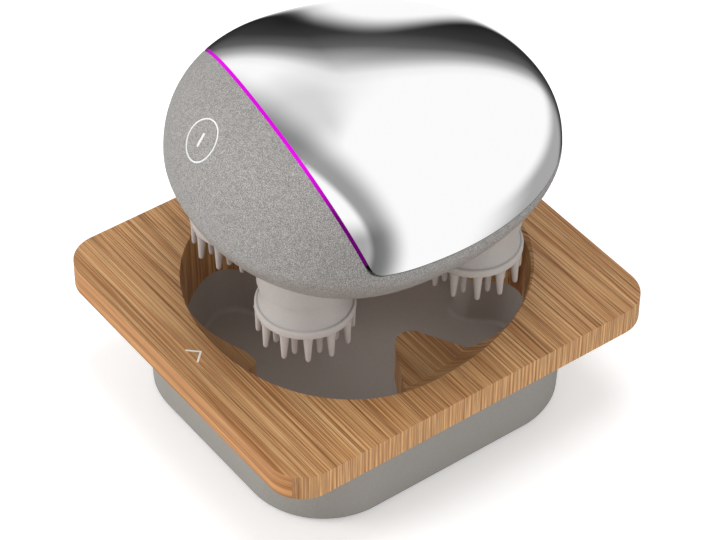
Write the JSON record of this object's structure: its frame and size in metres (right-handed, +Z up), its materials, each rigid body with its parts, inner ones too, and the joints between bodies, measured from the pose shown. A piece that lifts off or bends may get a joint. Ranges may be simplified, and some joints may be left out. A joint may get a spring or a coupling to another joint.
{
  "type": "scalp massager",
  "caption": "Hand-held scalp massager with turning tined heads, held over a bamboo-topped dock with a lobed well.",
  "frame": {"origin": "centre of the dock's footprint, at the underside of its feet", "axes": "+Z up, +Y away from the deck's arrow, +X to the right seen from the arrow's side"},
  "size_m": [0.121, 0.133, 0.1266],
  "materials": {
    "bamboo": "satin, visible strips",
    "pale_inlay": "matte",
    "base_plastic": "satin",
    "liner_plastic": "satin",
    "zinc_steel": "plain",
    "foot_rubber": "matte",
    "bright_plating": "mirror",
    "speckled_grey": "fine speckle",
    "light_line": "clear, lit from behind",
    "circuit_board": "solder mask",
    "cover_grey": "satin",
    "plate_steel": "stamped",
    "bush_bronze": "sintered",
    "seal_rubber": "matte",
    "motor_can": "plain",
    "reducer_case": "satin",
    "battery_wrap": "shrink film",
    "inner_plastic": "plain",
    "socket_steel": "plain",
    "white_print": "matte",
    "gear_nylon": "plain",
    "spindle_steel": "ground",
    "head_grey": "satin",
    "tine_rubber": "soft matte"
  },
  "bodies": {
    "dock": {"bamboo_deck": "bamboo", "arrow_inlay": "pale_inlay", "base_shell": "base_plastic", "well_liner": "liner_plastic", "deck_screws": "zinc_steel", "base_feet": "foot_rubber"},
    "massager": {"chrome_cover": "bright_plating", "casing": "speckled_grey", "light_guide": "light_line", "led_board": "circuit_board", "bottom_cover": "cover_grey", "cover_screws": "zinc_steel", "gear_plate": "plate_steel", "plate_screws": "zinc_steel", "lower_bushes": "bush_bronze", "upper_bushes": "bush_bronze", "spindle_seals": "seal_rubber", "motor": "motor_can", "reducer": "reducer_case", "battery_pack": "battery_wrap", "battery_tray": "inner_plastic", "control_board": "circuit_board", "charge_socket": "socket_steel", "switch_board": "circuit_board", "tact_switch": "inner_plastic", "button_ring": "white_print", "button_seal": "seal_rubber"},
    "head_1": {"head_hub_1": "head_grey", "tine_pad_1": "tine_rubber", "spindle_1": "spindle_steel", "output_gear_1": "gear_nylon"},
    "head_2": {"head_hub_2": "head_grey", "tine_pad_2": "tine_rubber", "spindle_2": "spindle_steel", "output_gear_2": "gear_nylon"},
    "head_3": {"head_hub_3": "head_grey", "tine_pad_3": "tine_rubber", "spindle_3": "spindle_steel", "output_gear_3": "gear_nylon"},
    "head_4": {"head_hub_4": "head_grey", "tine_pad_4": "tine_rubber", "spindle_4": "spindle_steel", "output_gear_4": "gear_nylon"},
    "drive": {"drive_gear": "gear_nylon", "drive_shaft": "spindle_steel"},
    "button": {"button_cap": "speckled_grey", "button_mark": "white_print"},
    "plunger": {"switch_plunger": "inner_plastic"}
  },
  "joints": [
    {"name": "massager_lift", "type": "slide", "parent": "dock", "child": "massager", "axis": [0, 0, 1], "range_m": [-0.0379, 0.06]},
    {"name": "head_spin_1", "type": "hinge", "parent": "massager", "child": "head_1", "pos_m": [0.01685, -0.03068, 0.0877], "axis": [0, 0, 1], "continuous": true},
    {"name": "head_spin_2", "type": "hinge", "parent": "massager", "child": "head_2", "pos_m": [0.02508, 0.02441, 0.0877], "axis": [0, 0, 1], "continuous": true},
    {"name": "head_spin_3", "type": "hinge", "parent": "massager", "child": "head_3", "pos_m": [-0.01685, 0.03068, 0.0877], "axis": [0, 0, 1], "continuous": true},
    {"name": "head_spin_4", "type": "hinge", "parent": "massager", "child": "head_4", "pos_m": [-0.02508, -0.02441, 0.0877], "axis": [0, 0, 1], "continuous": true},
    {"name": "drive_spin", "type": "hinge", "parent": "massager", "child": "drive", "pos_m": [0, 0, 0.0877], "axis": [0, 0, 1], "continuous": true},
    {"name": "button_press", "type": "slide", "parent": "massager", "child": "button", "axis": [0.1123, 0.7513, -0.6504], "range_m": [0, 0.0006], "stiffness_N_per_m": 2500, "springref_m": -0.0003},
    {"name": "plunger_press", "type": "slide", "parent": "massager", "child": "plunger", "axis": [0.1123, 0.7513, -0.6504], "range_m": [0, 0.0008]}
  ],
  "couplings": [
    {"joint": "head_spin_2", "follows": "head_spin_1", "ratio": 1},
    {"joint": "head_spin_3", "follows": "head_spin_1", "ratio": 1},
    {"joint": "head_spin_4", "follows": "head_spin_1", "ratio": 1},
    {"joint": "drive_spin", "follows": "head_spin_1", "ratio": -0.94444},
    {"joint": "plunger_press", "follows": "button_press", "ratio": 1}
  ]
}
